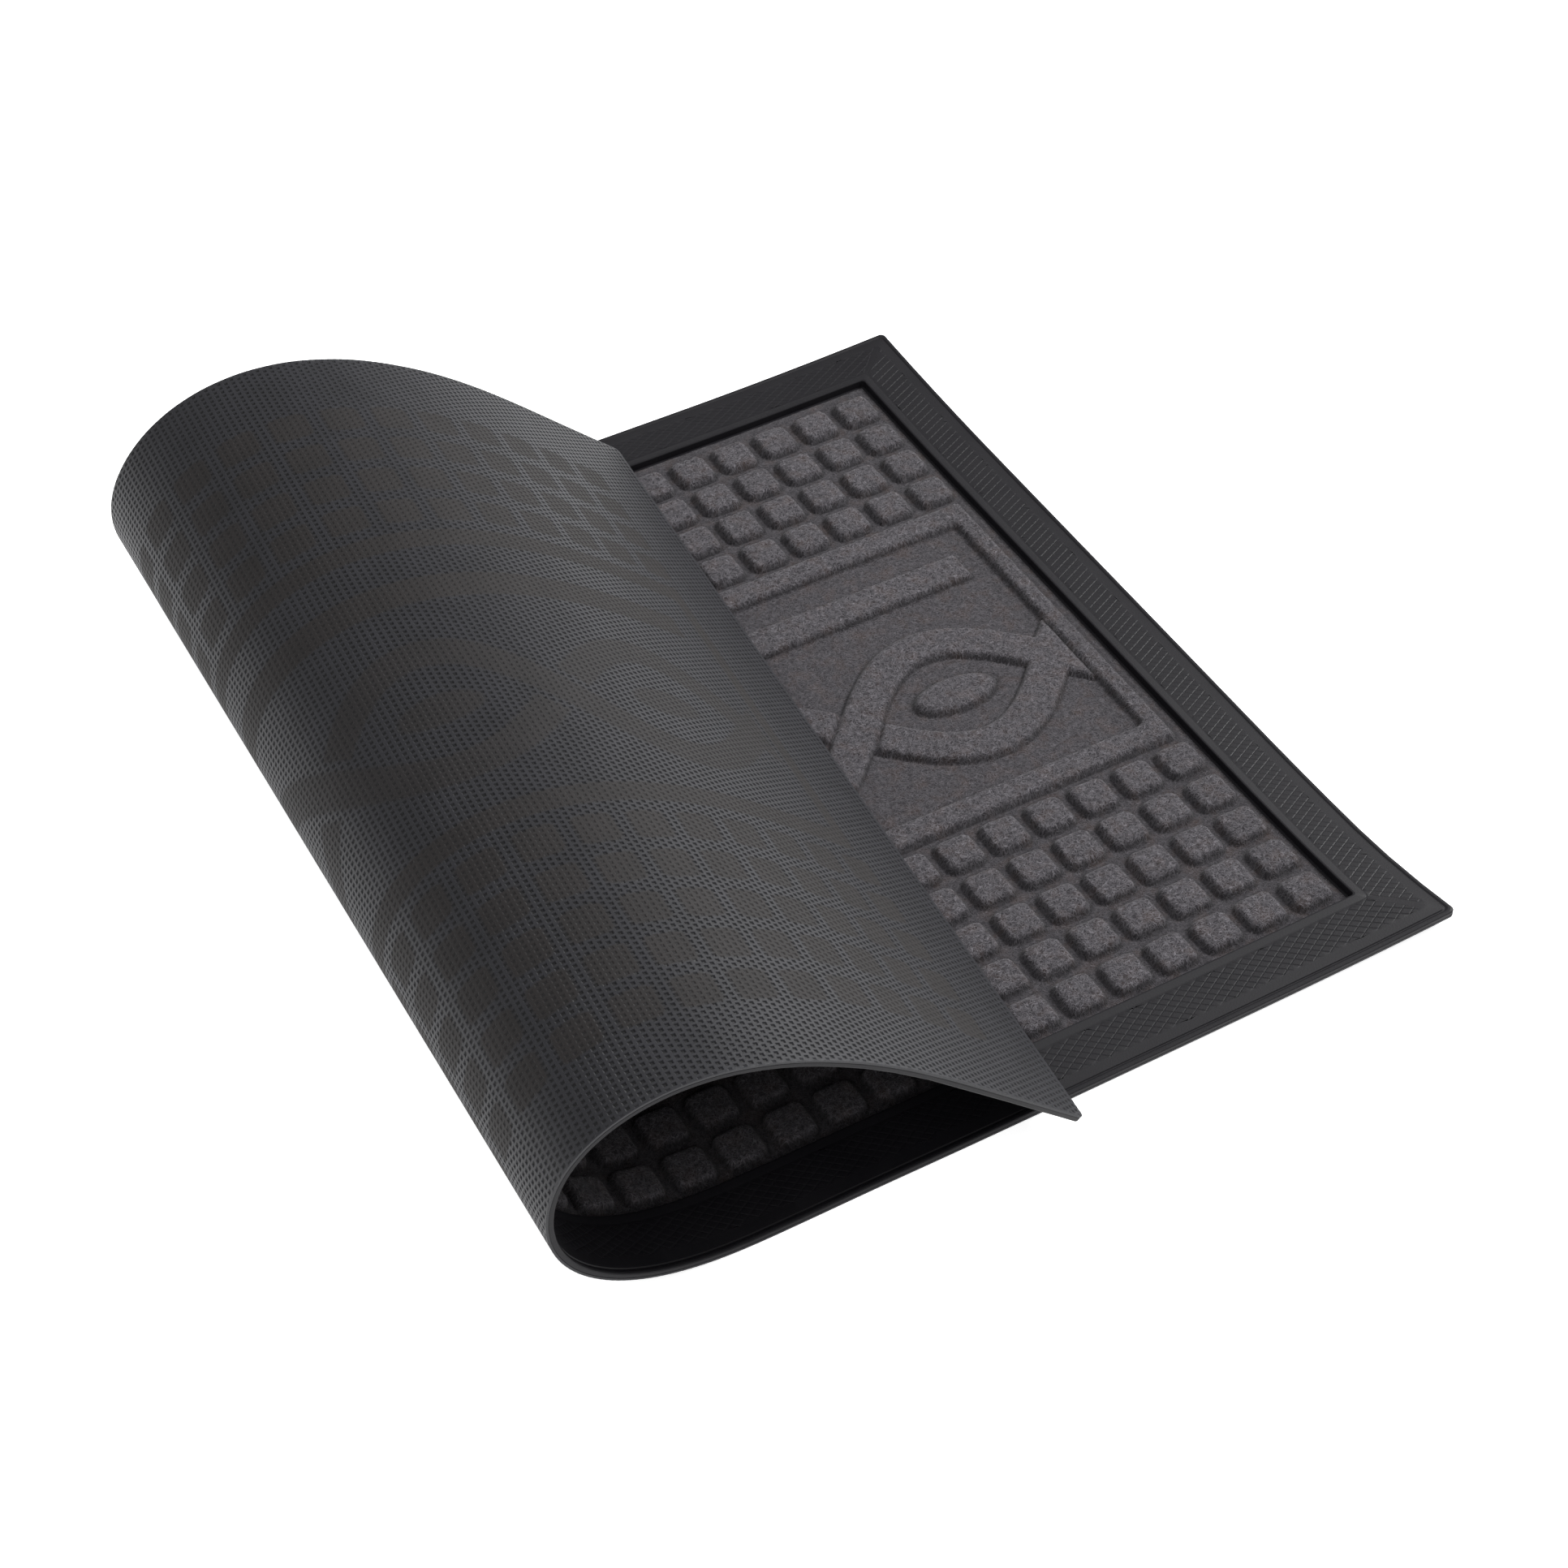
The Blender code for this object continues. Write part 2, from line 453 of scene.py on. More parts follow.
def backPlanes(stretch):
    # Planes that cut a piece's plain back finely enough to follow the sheet's shape.
    if stretch["start"] is not None:
        ends = (stretch["start"], stretch["end"] or matLength)
        return [rulingPlane(float(along)) for along in np.linspace(*ends, 6)[1:-1]]
    planes = [
        (Vector((rightX - step * lyingCell, 0, 0)), Vector((1, 0, 0)))
        for step in range(1, int(seams[0] / lyingCell) + 1)
    ]
    lowY = middleY - matWidth / 2
    planes += [
        (Vector((0, lowY + step * lyingCell, 0)), Vector((0, 1, 0)))
        for step in range(1, int(matWidth / lyingCell) + 1)
    ]
    return planes


def closeBack(mesh, height, planes):
    # Turns an open sheet into a slab: walls down from its rim and one plain back.
    rim = [edge for edge in mesh.edges if edge.is_boundary]
    for edge in rim:
        edge.smooth = False
    made = bmesh.ops.extrude_edge_only(mesh, edges=rim)["geom"]
    for vert in made:
        if isinstance(vert, bmesh.types.BMVert):
            vert.co.z = height
    backRim = [edge for edge in made if isinstance(edge, bmesh.types.BMEdge) and edge.is_boundary]
    for edge in backRim:
        edge.smooth = False
    back = bmesh.ops.holes_fill(mesh, edges=backRim, sides=0)["faces"]
    for point, normal in planes:
        crossed = []
        for face in back:
            away = [(vert.co - point).dot(normal) for vert in face.verts]
            if min(away) < -1e-6 and max(away) > 1e-6:
                crossed.append(face)
        if not crossed:
            continue
        kept = [face for face in back if face not in crossed]
        made = bisect(mesh, point, normal, geometry=withRims(crossed))["geom"]
        faces = [item for item in made if isinstance(item, bmesh.types.BMFace)]
        back = kept + [face for face in faces if face.is_valid]


# Each stretch of the mat: name, from and to along the mat, and the bodies it goes with.
bodies = ["root"] + [hinge["body"] for hinge in hinges]
stretches = [{"name": "base", "start": None, "end": seams[0], "bodies": ("root",)}]
for number, hinge in enumerate(hinges, start=1):
    stretches.append(
        {
            "name": hinge["body"],
            "start": seams[number - 1],
            "end": seams[number],
            "bodies": (bodies[number - 1], hinge["body"]),
        }
    )
stretches.append({"name": "end", "start": seams[-1], "end": None, "bodies": (bodies[-1],)})


def blendEnds(stretch):
    # Where the blend starts and ends, clear of both of the stretch's seams.
    rims = []
    for along in (stretch["start"], stretch["end"]):
        skew = float(skewAt(along))
        flat = [
            (rightX - along + side * math.tan(skew), middleY + side, height)
            for side in np.linspace(-matWidth / 2, matWidth / 2, 5)
            for height in (0.0, roll["thickness"])
        ]
        rims.append(rollUp(np.array(flat)))
    way = rims[1].mean(axis=0) - rims[0].mean(axis=0)
    line = sum(rim[-2] - rim[0] for rim in rims)
    line /= np.linalg.norm(line)
    way -= line * (way @ line)
    way /= np.linalg.norm(way)
    low, high = (rims[0] @ way).max(), (rims[1] @ way).min()
    first = rims[0].mean(axis=0)
    return first + way * (low - first @ way), first + way * (high - first @ way)


def finishPiece(name, mesh, points, stretch, material, node):
    # Rolls the flat points up; a piece of one body is hung on that body, a piece between two
    # bodies is only baked in place.
    flatMap(mesh, points)
    raised = points.copy()
    raised[:, 0] += flare(points)
    raised[:, 2] += lift(points)
    mesh.vertices.foreach_set("co", rollUp(raised).astype(np.float32).ravel())
    mesh.materials.append(material)
    mesh.update()
    piece = bpy.data.objects.new(name, mesh)
    bpy.context.scene.collection.objects.link(piece)
    if len(stretch["bodies"]) == 1:
        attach(piece, stretch["bodies"][0])
    else:
        start, end = blendEnds(stretch)
        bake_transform(piece)
    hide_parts(node + ("base" if stretch["name"] == "base" else stretch["bodies"][-1]))
    return piece


def toMesh(made, name):
    mesh = bpy.data.meshes.new(name)
    made.to_mesh(mesh)
    made.free()
    return mesh


def hexColour(value):
    # An sRGB hex value as the linear colour that shaders take.
    channels = [int(value[place : place + 2], 16) / 255 for place in (1, 3, 5)]
    linear = [c / 12.92 if c <= 0.04045 else ((c + 0.055) / 1.055) ** 2.4 for c in channels]
    return (*linear, 1.0)


def addNode(tree, kind, inputs=None, **settings):
    # Adds a node, sets its properties, and sets or links its inputs by name or number.
    node = tree.nodes.new(kind)
    for name, value in settings.items():
        setattr(node, name, value)
    for name, value in (inputs or {}).items():
        if isinstance(value, bpy.types.NodeSocket):
            tree.links.new(value, node.inputs[name])
        else:
            node.inputs[name].default_value = value
    return node


def newMaterial(name):
    material = bpy.data.materials.new(name)
    material.use_nodes = True
    tree = material.node_tree
    return material, tree, tree.nodes["Principled BSDF"]


rubberLook = {
    "dark": "#0e0d11",
    "light": "#171619",
    "bloomSize": 1 / 0.022,  # faint bloom in patches of about 22 mm
    "grainSize": 1 / 0.0007,  # the mould's fine grain, 0.7 mm so that it shows
    "roughness": (0.42, 0.58),
    "gloss": 0.15,
    "bump": (0.35, 0.00012),  # strength, and depth in metres
}


def makeRubber():
    # Styrene-butadiene rubber, compression moulded: near black, half gloss, with a
    # fine mould grain and a faint grey bloom.
    look = rubberLook
    material, tree, shader = newMaterial("mouldedRubber")
    flat = addNode(tree, "ShaderNodeUVMap", uv_map="flatMat").outputs["UV"]
    bloom = addNode(
        tree, "ShaderNodeTexNoise", {"Vector": flat, "Scale": look["bloomSize"], "Detail": 5.0}
    )
    grain = addNode(
        tree, "ShaderNodeTexNoise", {"Vector": flat, "Scale": look["grainSize"], "Detail": 2.0}
    )
    colour = addNode(
        tree,
        "ShaderNodeMix",
        {0: bloom.outputs[0], 6: hexColour(look["dark"]), 7: hexColour(look["light"])},
        data_type="RGBA",
    )
    tree.links.new(colour.outputs[2], shader.inputs["Base Color"])
    low, high = look["roughness"]
    rough = addNode(tree, "ShaderNodeMapRange", {0: bloom.outputs[0], 3: low, 4: high})
    tree.links.new(rough.outputs[0], shader.inputs["Roughness"])
    shader.inputs["Specular IOR Level"].default_value = look["gloss"]
    strength, depth = look["bump"]
    bump = addNode(
        tree,
        "ShaderNodeBump",
        {"Height": grain.outputs[0], "Strength": strength, "Distance": depth},
    )
    tree.links.new(bump.outputs[0], shader.inputs["Normal"])
    return material


backLook = {
    "net": "#1b1b1f",
    # painted shade colour for the bottom of each dimple
    "pit": "#0f0f11",
    "imprint": "#181515",
    "cloudSize": 1 / 0.016,  # lighter and darker clouds of about 16 mm
    "speckSize": 1 / 0.0011,  # the mould's fine specks, 1.1 mm so that they show
    "cloudShade": (0.85, 1.2),
    "pitShade": 0.9,  # how far the colour goes to the painted pit shade at the bottom of a pit
    "roughness": (0.50, 0.66),  # on the net, and where it was pressed
    "gloss": 0.28,
    "bump": (0.5, 0.0002),
}


def makeRubberBack():
    # The same rubber on the floor side: a net of fine ridges round dimples, pressed
    # smoother, browner and duller wherever the relief was moulded above it, with painted shade
    # darkening the bottom of each dimple.
    look = backLook
    material, tree, shader = newMaterial("dimpledRubber")
    flat = addNode(tree, "ShaderNodeUVMap", uv_map="flatMat").outputs["UV"]
    depth = addNode(tree, "ShaderNodeAttribute", attribute_name="pitDepth").outputs["Fac"]
    pressed = addNode(tree, "ShaderNodeAttribute", attribute_name="imprint").outputs["Fac"]
    cloud = addNode(
        tree, "ShaderNodeTexNoise", {"Vector": flat, "Scale": look["cloudSize"], "Detail": 4.0}
    )
    speck = addNode(
        tree, "ShaderNodeTexNoise", {"Vector": flat, "Scale": look["speckSize"], "Detail": 2.0}
    )
    ground = addNode(
        tree,
        "ShaderNodeMix",
        {0: pressed, 6: hexColour(look["net"]), 7: hexColour(look["imprint"])},
        data_type="RGBA",
    )
    # Painted shade: the colour darkens towards the bottom of each pit.
    pitShadeMask = addNode(
        tree, "ShaderNodeMapRange", {0: depth, 1: 0.35, 2: 0.8, 3: 0.0, 4: look["pitShade"]}
    )
    pitShadedColour = addNode(
        tree,
        "ShaderNodeMix",
        {0: pitShadeMask.outputs[0], 6: ground.outputs[2], 7: hexColour(look["pit"])},
        data_type="RGBA",
    )
    low, high = look["cloudShade"]
    shade = addNode(
        tree, "ShaderNodeMapRange", {0: cloud.outputs[0], 1: 0.3, 2: 0.7, 3: low, 4: high}
    )
    shaded = addNode(
        tree,
        "ShaderNodeVectorMath",
        {0: pitShadedColour.outputs[2], "Scale": shade.outputs[0]},
        operation="SCALE",
    )
    tree.links.new(shaded.outputs[0], shader.inputs["Base Color"])
    low, high = look["roughness"]
    rough = addNode(tree, "ShaderNodeMapRange", {0: pressed, 3: low, 4: high})
    tree.links.new(rough.outputs[0], shader.inputs["Roughness"])
    shader.inputs["Specular IOR Level"].default_value = look["gloss"]
    strength, depth = look["bump"]
    bump = addNode(
        tree,
        "ShaderNodeBump",
        {"Height": speck.outputs[0], "Strength": strength, "Distance": depth},
    )
    tree.links.new(bump.outputs[0], shader.inputs["Normal"])
    return material


feltLook = {
    "ground": "#29272a",
    "hair": "#777479",
    "brown": "#352b28",
    "hairLength": 1 / 0.0032,  # staple hairs curl about every 3 mm
    "hairWidth": 1 / 0.00046,  # drawn 0.5 mm wide, over twice the real width, to show
    "curl": 0.0022,  # how far a hair wanders to the side, in metres
    "hairAngles": (0.15, 0.95, 1.75, 2.55),
    "creaseShade": 0.45,  # painted shade: the colour in a crease keeps this share of its brightness
    "standing": (0.25, 0.58),  # share of the hairs that show on flat and on raised felt
    "curlSize": 1 / 0.0015,  # the hairs bend about every 1.5 mm
    "patchSize": 1 / 0.008,  # browner patches of about 8 mm
    "roughness": 0.95,
    "gloss": 0.15,
    "sheen": (0.08, 0.5),  # weight and roughness
    "bump": (0.6, 0.0004),
}


def makeFelt():
    # Needle-punched polyester staple: a matt tangle of short curled hairs, lighter where it stands
    # up and browner in random patches, with painted shade darkening the creases round the foot of
    # each shape.
    look = feltLook
    material, tree, shader = newMaterial("needleFelt")
    flat = addNode(tree, "ShaderNodeUVMap", uv_map="flatMat").outputs["UV"]
    raised = addNode(tree, "ShaderNodeAttribute", attribute_name="raised").outputs["Fac"]
    bend = addNode(
        tree, "ShaderNodeTexNoise", {"Vector": flat, "Scale": look["curlSize"], "Detail": 1.0}
    )
    centred = addNode(
        tree,
        "ShaderNodeVectorMath",
        {0: bend.outputs["Color"], 1: (0.5, 0.5, 0.5)},
        operation="SUBTRACT",
    )
    moved = addNode(
        tree,
        "ShaderNodeVectorMath",
        {0: centred.outputs[0], "Scale": look["curl"]},
        operation="SCALE",
    )
    curled = addNode(tree, "ShaderNodeVectorMath", {0: flat, 1: moved.outputs[0]}, operation="ADD")
    hairs = None
    for number, angle in enumerate(look["hairAngles"]):
        turned = addNode(
            tree,
            "ShaderNodeVectorRotate",
            {"Vector": curled.outputs[0], "Angle": angle},
            rotation_type="Z_AXIS",
        )
        stretched = addNode(
            tree,
            "ShaderNodeVectorMath",
            {0: turned.outputs[0], 1: (look["hairLength"], look["hairWidth"], number * 7.0 + 1.0)},
            operation="MULTIPLY",
        )
        strand = addNode(
            tree,
            "ShaderNodeTexNoise",
            {"Vector": stretched.outputs[0], "Scale": 1.0, "Detail": 1.0},
        )
        line = addNode(tree, "ShaderNodeMapRange", {0: strand.outputs[0], 1: 0.52, 2: 0.74})
        line = line.outputs[0]
        if hairs is None:
            hairs = line
        else:
            most = addNode(tree, "ShaderNodeMath", {0: hairs, 1: line}, operation="MAXIMUM")
            hairs = most.outputs[0]
    patches = addNode(
        tree, "ShaderNodeTexNoise", {"Vector": flat, "Scale": look["patchSize"], "Detail": 4.0}
    )
    low, high = look["standing"]
    standing = addNode(tree, "ShaderNodeMapRange", {0: raised, 3: low, 4: high})
    shown = addNode(
        tree, "ShaderNodeMath", {0: hairs, 1: standing.outputs[0]}, operation="MULTIPLY"
    )
    browned = addNode(
        tree, "ShaderNodeMapRange", {0: patches.outputs[0], 1: 0.48, 2: 0.72, 3: 0.0, 4: 0.7}
    )
    ground = addNode(
        tree,
        "ShaderNodeMix",
        {0: browned.outputs[0], 6: hexColour(look["ground"]), 7: hexColour(look["brown"])},
        data_type="RGBA",
    )
    colour = addNode(
        tree,
        "ShaderNodeMix",
        {0: shown.outputs[0], 6: ground.outputs[2], 7: hexColour(look["hair"])},
        data_type="RGBA",
    )
    # Painted shade: the colour is darkened where the felt creases round the foot of each pad, bar
    # and strand.
    folded = addNode(tree, "ShaderNodeAttribute", attribute_name="crease").outputs["Fac"]
    creaseShadeShare = addNode(tree, "ShaderNodeMapRange", {0: folded, 3: 1.0, 4: look["creaseShade"]})
    creaseShadedColour = addNode(
        tree,
        "ShaderNodeVectorMath",
        {0: colour.outputs[2], "Scale": creaseShadeShare.outputs[0]},
        operation="SCALE",
    )
    tree.links.new(creaseShadedColour.outputs[0], shader.inputs["Base Color"])
    shader.inputs["Roughness"].default_value = look["roughness"]
    shader.inputs["Specular IOR Level"].default_value = look["gloss"]
    shader.inputs["Sheen Weight"].default_value = look["sheen"][0]
    shader.inputs["Sheen Roughness"].default_value = look["sheen"][1]
    strength, depth = look["bump"]
    bump = addNode(
        tree, "ShaderNodeBump", {"Height": hairs, "Strength": strength, "Distance": depth}
    )
    tree.links.new(bump.outputs[0], shader.inputs["Normal"])
    return material


rubberFinish, backFinish, feltFinish = makeRubber(), makeRubberBack(), makeFelt()
print("materials made")


tray = {
    "cornerSegments": 5,
    # From the outer foot over the bead, the groove, the crosshatched slope, the lip and
    # the well: inset, height and corner radius, in millimetres.
    "rings": (
        (0.25, 0.9, 2.5),
        (0.0, 1.4, 2.7),
        (0.0, 2.8, 2.7),
        (0.25, 3.25, 2.5),
        (0.9, 3.5, 2.4),
        (1.6, 3.5, 2.3),
        (2.1, 3.3, 2.2),
        (2.4, 3.1, 2.2),
        (2.7, 3.14, 2.2),
        (3.1, 3.5, 2.2),
        (7.0, 4.0, 2.1),
        (7.5, 4.15, 2.1),
        (23.5, 5.45, 1.6),
        (24.0, 5.42, 1.6),
        (24.4, 5.55, 1.5),
        (27.2, 6.0, 1.4),
        (27.8, 5.9, 1.3),
        (28.0, 5.6, 1.3),
        (28.3, 2.6, 1.2),
    ),
    "hatchRing": 11,  # the crosshatch lies between this ring and the next
    "hatchLines": ((28.0, 3.58), (-38.0, 2.88)),  # degrees off the long way, and spacing
    "grooveHalf": 0.40,  # half a groove's width, and its depth, in millimetres
    "grooveDepth": 0.13,
    "edgeDepth": 0.07,  # depth of a groove where it runs out at the band's edge
    "smallestDiamond": 2.6,  # square millimetres; a smaller sliver stays uncut
    "sharp": math.radians(12),  # an edge bent more than this shows as an edge
}


def ringEdges(mesh, inset, height, radius):
    # A rounded rectangle, in from the mat's outline, as a loop of edges.
    middle = Vector((rightX - matLength / 2, middleY, height * mm))
    size = Matrix.Diagonal((matLength - 2 * inset * mm, matWidth - 2 * inset * mm, 1, 1))
    old = set(mesh.edges)
    corners = bmesh.ops.create_grid(
        mesh, x_segments=1, y_segments=1, size=0.5, matrix=Matrix.Translation(middle) @ size
    )["verts"]
    bmesh.ops.bevel(
        mesh,
        geom=corners,
        offset=radius * mm,
        offset_type="OFFSET",
        segments=tray["cornerSegments"],
        profile=0.5,
        affect="VERTICES",
        material=-1,
    )
    edges = [edge for edge in mesh.edges if edge not in old]
    faces = list({face for edge in edges for face in edge.link_faces})
    bmesh.ops.delete(mesh, geom=faces, context="FACES_ONLY")
    return edges


def hatchBand(mesh, band):
    # Cuts one lattice of diamonds through the band on all four sides.
    borderHeights = {round(vert.co.z, 6) for face in band for vert in face.verts}
    grooves = set()
    for angle, spacing in tray["hatchLines"]:
        angle, spacing = math.radians(angle), spacing * mm
        normal = Vector((-math.sin(angle), math.cos(angle), 0))
        reach = abs(normal.x) * matLength / 2 + abs(normal.y) * matWidth / 2
        middle = Vector((rightX - matLength / 2, middleY, 0))
        count = int(reach / spacing) + 1
        for line in range(-count, count + 1):
            point = middle + normal * (line * spacing)
            kept, crossed = [], []
            for face in band:
                if not face.is_valid:
                    continue
                away = [(vert.co - point).dot(normal) for vert in face.verts]
                if min(away) < 0 < max(away):
                    crossed.append(face)
                else:
                    kept.append(face)
            if not crossed:
                continue
            made = bisect(mesh, point, normal, geometry=withRims(crossed))
            band = kept + [item for item in made["geom"] if isinstance(item, bmesh.types.BMFace)]
            cut = [item for item in made["geom_cut"] if isinstance(item, bmesh.types.BMVert)]
            grooves.update(cut)
    band = [face for face in band if face.is_valid]
    grooves = {vert for vert in grooves if vert.is_valid}
    depths = {
        vert: tray["edgeDepth" if round(vert.co.z, 6) in borderHeights else "grooveDepth"]
        for vert in grooves
    }
    diamonds = [face for face in band if face.calc_area() > tray["smallestDiamond"] * mm * mm]
    bmesh.ops.inset_individual(
        mesh, faces=diamonds, thickness=tray["grooveHalf"] * mm, depth=0.0, use_even_offset=True
    )
    for vert, depth in depths.items():
        vert.co.z -= depth * mm


def makeTray():
    mesh = bmesh.new()
    loops = [ringEdges(mesh, *ring) for ring in tray["rings"]]
    band = []
    for number, (outer, inner) in enumerate(zip(loops, loops[1:])):
        faces = bmesh.ops.bridge_loops(mesh, edges=outer + inner)["faces"]
        if number == tray["hatchRing"]:
            band = faces
    bmesh.ops.holes_fill(mesh, edges=loops[0], sides=0)
    bmesh.ops.holes_fill(mesh, edges=loops[-1], sides=0)
    bmesh.ops.recalc_face_normals(mesh, faces=mesh.faces)
    hatchBand(mesh, band)
    for step in range(1, int(seams[0] / lyingCell)):
        bisect(mesh, Vector((rightX - step * lyingCell, 0, 0)), Vector((1, 0, 0)))
    lowY = middleY - matWidth / 2
    for step in range(1, int(matWidth / lyingCell) + 1):
        bisect(mesh, Vector((0, lowY + step * lyingCell, 0)), Vector((0, 1, 0)))
    facets = int(hingeBend.sum() / roll["facet"])
    for turned in np.linspace(0, hingeBend.sum(), facets + 1):
        bisect(mesh, *rulingPlane(float(np.interp(turned, profileTurned, profileAlong))))
    for edge in mesh.edges:
        edge.smooth = len(edge.link_faces) == 2 and edge.calc_face_angle(0) < tray["sharp"]
    for face in mesh.faces:
        face.smooth = True
    return mesh


wholeTray = makeTray()
print(f"tray shaped: {len(wholeTray.faces)} faces")
for stretch in stretches:
    part = wholeTray.copy()
    trim(part, stretch["start"], stretch["end"], cap=True)
    mesh = toMesh(part, "rubberTop_" + stretch["name"])
    finishPiece(
        mesh.name, mesh, pointsOf(mesh), stretch, rubberFinish, "rubber_tray_"
    )
wholeTray.free()
print("tray pieces made")


# The dimpled underside of the tray.
back = {
    "columns": 254,  # dimples along the mat, about 2.8 mm apart
    "rows": 164,  # and across it
    "netHalf": 0.50,  # half the width of the flat net between two pits
    "pitWall": 0.46,  # how far a pit's wall leans in
    "pitDepth": 0.50,
    "rimFade": (0.2, 1.8),  # the pits grow shallow this close to the outline,
    "rimDepth": 0.15,  # down to this share of their depth
    "backHeight": 1.0,
    "imprintDepth": 0.60,  # share of the depth left where the relief was pressed
    "pressedFrom": 0.72,  # the relief shows through from this share of its height
    "cornerCuts": (22.5, 45.0, 67.5),
    "cornerRadius": 2.7,
    "longest": 0.105,  # a stretch longer than this is made as several pieces
}


def dimpledSheet(start, end):
    # Staggered dimples: half cells, joined two by two, alternately from column to column.
    cell, halfCell = matLength / back["columns"], matWidth / back["rows"] / 2
    first = max(int((start - skewReach) / cell) - 1, -1)
    last = min(int((end + skewReach) / cell) + 2, back["columns"] + 1)
    halves = 2 * back["rows"] + 4
    lowY = middleY - matWidth / 2 - 1.5 * halfCell
    firstX = rightX - (first - 0.5) * cell
    mesh = bmesh.new()
    long, wide = (last - first) * cell, halves * halfCell
    middle = Matrix.Translation((firstX - long / 2, lowY + wide / 2, 0))
    bmesh.ops.create_grid(
        mesh,
        x_segments=last - first,
        y_segments=halves,
        size=0.5,
        matrix=middle @ Matrix.Diagonal((long, wide, 1, 1)),
    )
    joins = []
    for edge in mesh.edges:
        ends = edge.verts
        if abs(ends[0].co.y - ends[1].co.y) > halfCell / 2 or edge.is_boundary:
            continue
        column = first + int((firstX - (ends[0].co.x + ends[1].co.x) / 2) / cell)
        line = round((ends[0].co.y - lowY) / halfCell)
        if (column + line) % 2:
            joins.append(edge)
    bmesh.ops.dissolve_edges(mesh, edges=joins, use_verts=False)
    bmesh.ops.reverse_faces(mesh, faces=mesh.faces)
    inner = mesh.faces[:]
    for thickness in (back["netHalf"], back["pitWall"]):
        bmesh.ops.inset_individual(
            mesh, faces=inner, thickness=thickness * mm, depth=0.0, use_even_offset=True
        )
    for face in inner:
        for vert in face.verts:
            vert.co.z = back["pitDepth"] * mm
    return mesh


def cutOutline(mesh, atRight, atLeft):
    # Trims the sheet to the mat's outline, corners rounded in three cuts.
    middle = Vector((rightX - matLength / 2, middleY, 0))
    half = Vector((matLength / 2, matWidth / 2, 0))
    radius = back["cornerRadius"] * mm
    ends = [side for side, wanted in ((1, atRight), (-1, atLeft)) if wanted]
    for alongSide in ends:
        for acrossSide in (1, -1):
            toCorner = (alongSide * (half.x - radius), acrossSide * (half.y - radius), 0)
            corner = middle + Vector(toCorner)
            for angle in back["cornerCuts"]:
                turn = math.radians(angle)
                normal = Vector((alongSide * math.cos(turn), acrossSide * math.sin(turn), 0))
                near = [
                    face
                    for face in mesh.faces
                    if (face.calc_center_median() - corner).length < 4 * radius
                ]
                cut = corner + normal * radius
                bisect(mesh, cut, normal, geometry=withRims(near), clearOuter=True)
    normals = [Vector((side, 0, 0)) for side in ends] + [Vector((0, 1, 0)), Vector((0, -1, 0))]
    for normal in normals:
        bisect(mesh, middle + normal * abs(half.dot(normal)), normal, clearOuter=True)


def makeBack(stretch, start, end, name):
    part = dimpledSheet(start or 0.0, end or matLength)
    cutOutline(part, start is None, end is None)
    trim(part, start, end, cap=False)
    closeBack(part, back["backHeight"] * mm, backPlanes(stretch))
    mesh = toMesh(part, name)
    points = pointsOf(mesh)
    raised = feltHeight(points)[1]
    pressed = smooth((raised - back["pressedFrom"]) / (1 - back["pressedFrom"]))
    depth = np.clip(points[:, 2] / (back["pitDepth"] * mm), 0, 1)
    isBack = points[:, 2] > back["backHeight"] * mm - 1e-6
    fromRim = insideMat(points)
    low, high = back["rimFade"]
    shallow = 1 - (1 - back["imprintDepth"]) * pressed
    left = back["rimDepth"]
    shallow *= left + (1 - left) * smooth((fromRim / mm - low) / (high - low))
    points[:, 2] = np.where(isBack, points[:, 2], points[:, 2] * shallow)
    # pitDepth sets the painted shade at the bottom of each dimple
    newNumbers(mesh, "pitDepth", np.where(isBack, 0, depth * shallow))
    newNumbers(mesh, "imprint", pressed)
    finishPiece(name, mesh, points, stretch, backFinish, "rubber_tray_")
    return len(mesh.polygons)


dimpledFaces = 0
for stretch in stretches:
    start, end = stretch["start"] or 0.0, stretch["end"] or matLength
    parts = math.ceil((end - start) / back["longest"])
    places = [start + (end - start) * number / parts for number in range(parts + 1)]
    for number in range(parts):
        ends = (places[number], places[number + 1])
        if number == 0 and stretch["start"] is None:
            ends = (None, ends[1])
        if number == parts - 1 and stretch["end"] is None:
            ends = (ends[0], None)
        label = "rubberBack_" + stretch["name"] + ("" if parts == 1 else "_" + str(number + 1))
        dimpledFaces += makeBack(stretch, *ends, label)
print(f"underside pieces made: {dimpledFaces} faces")


felt = {
    "gap": 1.5,  # black gap between the felt and the lip, in millimetres
    "stepAlong": 1.117,
    "stepAcross": 1.13,
    "underside": 2.9,
    "rimDrop": 0.5,  # how far the cut edge is pressed down,
    "rimRound": 2.5,  # and over what width
}
feltInset = (tray["rings"][-1][0] + felt["gap"]) * mm
feltLength, feltWidth = matLength - 2 * feltInset, matWidth - 2 * feltInset


def feltSheet(start, end):
    across = round(feltWidth / (felt["stepAcross"] * mm))
    wholeAlong = round(feltLength / (felt["stepAlong"] * mm))
    step = feltLength / wholeAlong
    first = max(math.floor((start - skewReach - feltInset) / step), 0)
    last = min(math.ceil((end + skewReach - feltInset) / step), wholeAlong)
    high = rightX - feltInset - first * step
    long, top = (last - first) * step, felt["underside"] * mm + 0.002
    mesh = bmesh.new()
    middle = Matrix.Translation((high - long / 2, middleY, top))
    bmesh.ops.create_grid(
        mesh,
        x_segments=last - first,
        y_segments=across,
        size=0.5,
        matrix=middle @ Matrix.Diagonal((long, feltWidth, 1, 1)),
    )
    return mesh


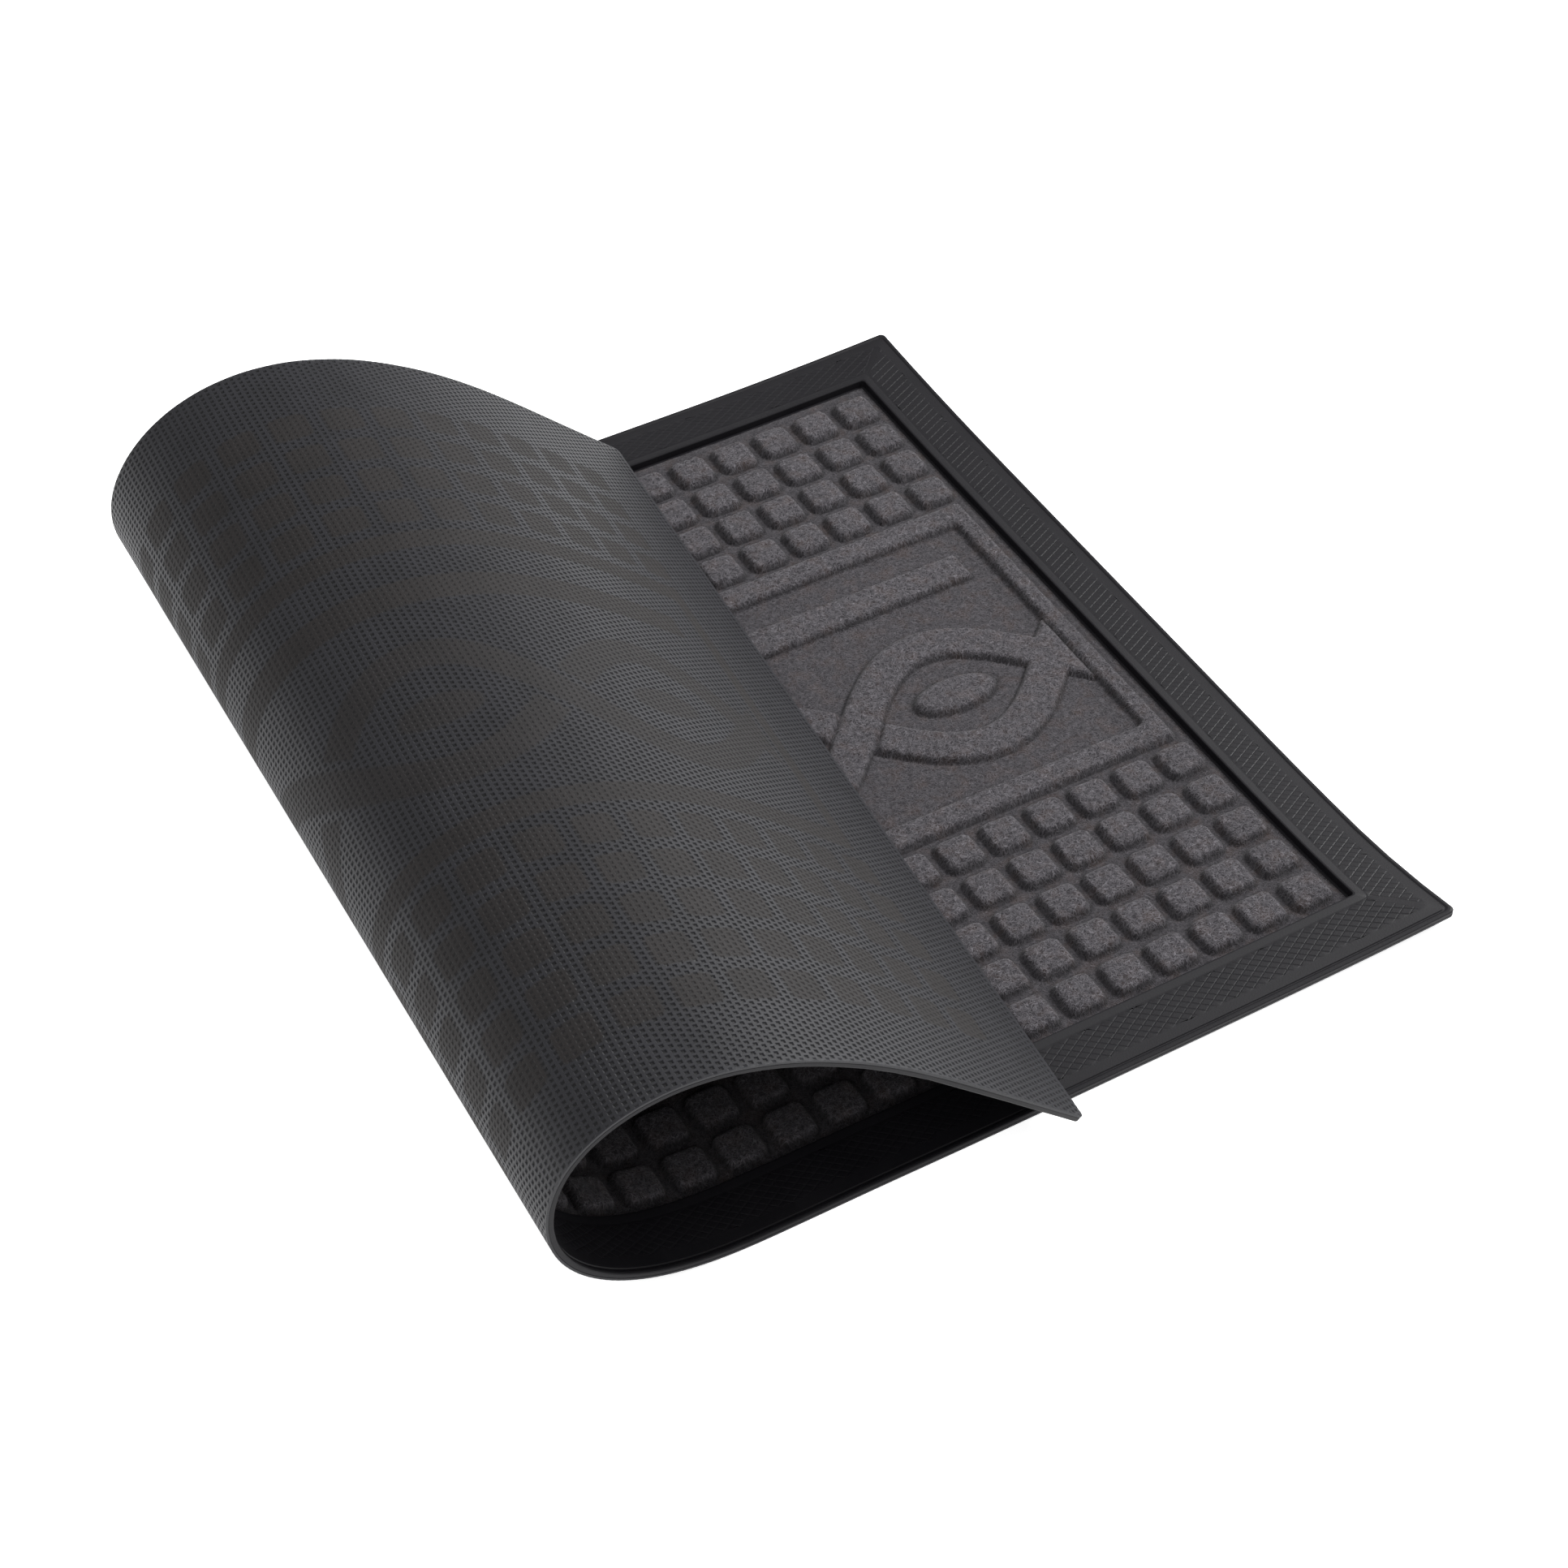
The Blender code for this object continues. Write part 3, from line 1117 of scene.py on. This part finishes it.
for stretch in stretches:
    start, end = stretch["start"] or 0.0, stretch["end"] or matLength
    part = feltSheet(start, end)
    trim(part, stretch["start"], stretch["end"], cap=False)
    for face in part.faces:
        face.smooth = True
    closeBack(part, felt["underside"] * mm, backPlanes(stretch))
    bmesh.ops.recalc_face_normals(part, faces=part.faces)
    mesh = toMesh(part, "feltInsert_" + stretch["name"])
    points = pointsOf(mesh)
    height, raised, crease = feltHeight(points)
    fromRim = insideMat(points) - feltInset
    height -= felt["rimDrop"] * (1 - smooth(fromRim / (felt["rimRound"] * mm)))
    isTop = points[:, 2] > felt["underside"] * mm + 0.001
    points[:, 2] = np.where(isTop, height * mm, points[:, 2])
    newNumbers(mesh, "raised", raised)
    # the crease also sets the painted shade in the felt's colour
    newNumbers(mesh, "crease", crease)
    finishPiece(mesh.name, mesh, points, stretch, feltFinish, "felt_insert_")


# Floor, light and camera.
stage = {
    "floor": "#f4f4f4",
    "floorHalf": 6.0,
    "glow": 0.75,
    "world": ("#ffffff", 0.60),
    "centre": (0.0, 0.0, 0.03),
    # name, place, size, power in watts
    "lamps": (
        ("key", (1.40, 0.10, 1.10), 0.7, 40.0),
        ("fill", (-1.2, -0.5, 1.4), 1.4, 6.0),
        ("top", (0.0, 0.1, 1.9), 1.6, 10.0),
    ),
}
floorMesh = bmesh.new()
bmesh.ops.create_grid(floorMesh, x_segments=2, y_segments=2, size=stage["floorHalf"])
floorData = toMesh(floorMesh, "floor")
floorFinish, floorTree, floorShader = newMaterial("acrylicLightTable")
# A white acrylic light table: matt, nearly white and faintly lit from below.
floorShader.inputs["Base Color"].default_value = hexColour(stage["floor"])
floorShader.inputs["Roughness"].default_value = 0.9
floorShader.inputs["Specular IOR Level"].default_value = 0.1
floorShader.inputs["Emission Color"].default_value = hexColour("#ffffff")
floorShader.inputs["Emission Strength"].default_value = stage["glow"]
floorData.materials.append(floorFinish)
floor = bpy.data.objects.new("floor", floorData)
bpy.context.scene.collection.objects.link(floor)

world = bpy.data.worlds.new("studio")
world.use_nodes = True
colour, strength = stage["world"]
world.node_tree.nodes["Background"].inputs[0].default_value = hexColour(colour)
world.node_tree.nodes["Background"].inputs[1].default_value = strength
bpy.context.scene.world = world
for name, place, size, power in stage["lamps"]:
    lamp = bpy.data.lights.new(name, "AREA")
    lamp.shape = "DISK"
    lamp.size = size
    lamp.energy = power
    holder = bpy.data.objects.new(name, lamp)
    holder.location = place
    aim = Vector(stage["centre"]) - Vector(place)
    holder.rotation_euler = aim.to_track_quat("-Z", "Y").to_euler()
    bpy.context.scene.collection.objects.link(holder)

view = {
    # from the middle of the right edge, at the hinges' height
    "fromCorner": Vector((-0.70204, -0.90061, 1.01632)),
    "looks": Vector((0.35119, 0.61206, -0.70855)),
    "lens": 77.15,
    "sensor": 36.0,
}
lens = bpy.data.cameras.new("camera")
lens.lens = view["lens"]
lens.sensor_width = view["sensor"]
camera = bpy.data.objects.new("camera", lens)
camera.location = Vector((rightX, middleY, hingeHeight)) + view["fromCorner"]
camera.rotation_euler = view["looks"].to_track_quat("-Z", "Y").to_euler()
bpy.context.scene.collection.objects.link(camera)
bpy.context.scene.camera = camera
bpy.context.scene.view_settings.view_transform = "Standard"
print("stage set")
